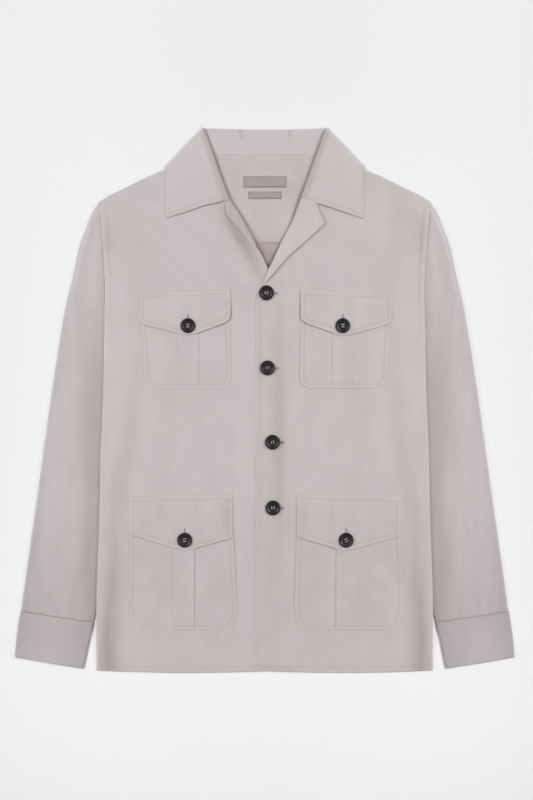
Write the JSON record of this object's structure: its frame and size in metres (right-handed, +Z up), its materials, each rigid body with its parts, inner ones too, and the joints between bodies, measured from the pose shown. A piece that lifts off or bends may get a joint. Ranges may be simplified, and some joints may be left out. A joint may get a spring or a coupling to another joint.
{
  "type": "jacket",
  "caption": "Button-front jacket laid flat on its back, with a turned collar and lapels, pleated patch pockets under pointed flaps, long sleeves and plain cuffs.",
  "frame": {"origin": "middle of the jacket's outline, on the surface that it lies on", "axes": "+Z up from the surface, +Y from hem to collar, +X to the wearer's left"},
  "size_m": [0.7012, 0.7632, 0.0165],
  "materials": {
    "cloth": "matt fine cotton weave, pale warm grey",
    "inside": "the same cloth, seen on the inside",
    "button": "dark horn look, half matt",
    "label": "plain woven tape, bare"
  },
  "bodies": {
    "root": {"back": "cloth", "back_yoke": "inside", "front_left": "cloth", "front_right": "cloth", "lapel_left": "inside", "lapel_right": "inside", "collar": "cloth", "sleeve_left": "cloth", "sleeve_right": "cloth", "cuff_left": "cloth", "cuff_right": "cloth", "pocket_chest_left": "cloth", "pocket_chest_right": "cloth", "pocket_hip_left": "cloth", "pocket_hip_right": "cloth", "flap_chest_left": "cloth", "flap_chest_right": "cloth", "flap_hip_left": "cloth", "flap_hip_right": "cloth", "button_front_1": "button", "button_front_2": "button", "button_front_3": "button", "button_front_4": "button", "button_chest_left": "button", "button_chest_right": "button", "button_hip_left": "button", "button_hip_right": "button", "label_main": "label", "label_size": "label"}
  },
  "joints": []
}
